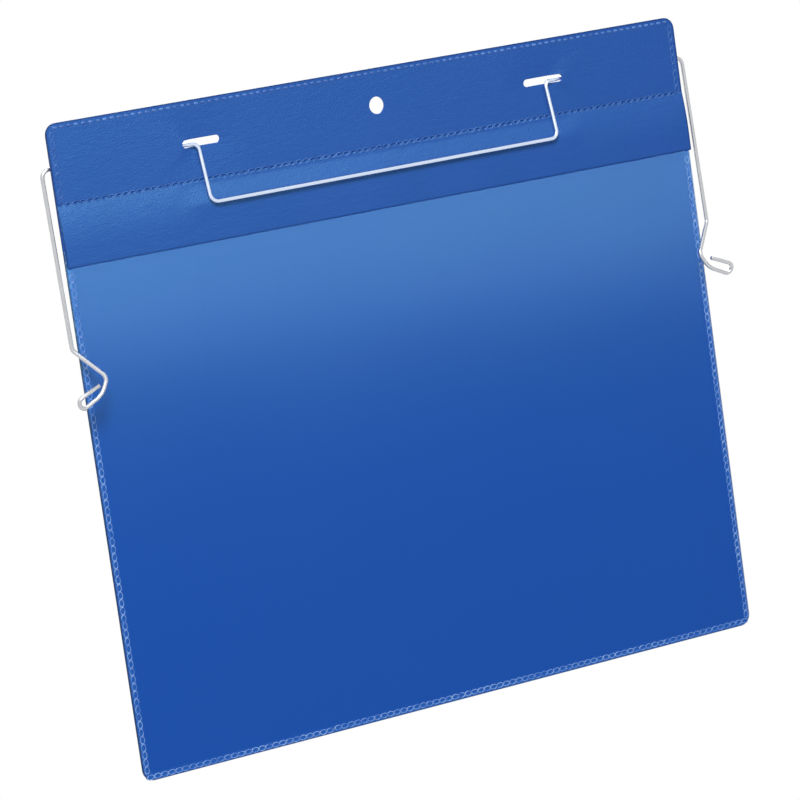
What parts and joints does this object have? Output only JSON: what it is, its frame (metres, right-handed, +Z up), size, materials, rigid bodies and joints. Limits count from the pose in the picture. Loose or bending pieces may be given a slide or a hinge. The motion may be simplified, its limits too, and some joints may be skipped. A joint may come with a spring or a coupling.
{
  "type": "hanging document pocket",
  "caption": "Flat landscape document pocket of blue sheet with a clear front, a header with a hanging hole, a rain flap over the open top, and a swinging wire hanger with curled hooks.",
  "frame": {"origin": "middle of the hanging hole, on the back face of the sheet", "axes": "+X to the right as seen from the front, +Y out of the back face, +Z up as the pocket hangs"},
  "size_m": [0.3284, 0.0158, 0.28],
  "materials": {
    "blue_sheet": "smooth blue plastic sheet",
    "clear_film": "clear glossy film",
    "grained_sheet": "blue plastic sheet with a fine leather grain",
    "zinc_wire": "bright zinc on spring steel wire"
  },
  "bodies": {
    "pocket": {"back_sheet": "blue_sheet", "front_film": "clear_film", "header_band": "grained_sheet"},
    "flap": {"rain_flap": "grained_sheet"},
    "hanger": {"wire_hanger": "zinc_wire"}
  },
  "joints": [
    {"name": "hanger_swing", "type": "hinge", "parent": "pocket", "child": "hanger", "pos_m": [0, 0.0012, -0.00265], "axis": [-1, 0, 0], "range_deg": [0, 150]},
    {"name": "flap_lift", "type": "hinge", "parent": "pocket", "child": "flap", "pos_m": [0, -0.0027, -0.031], "axis": [-1, 0, 0], "range_deg": [0, 110]}
  ]
}
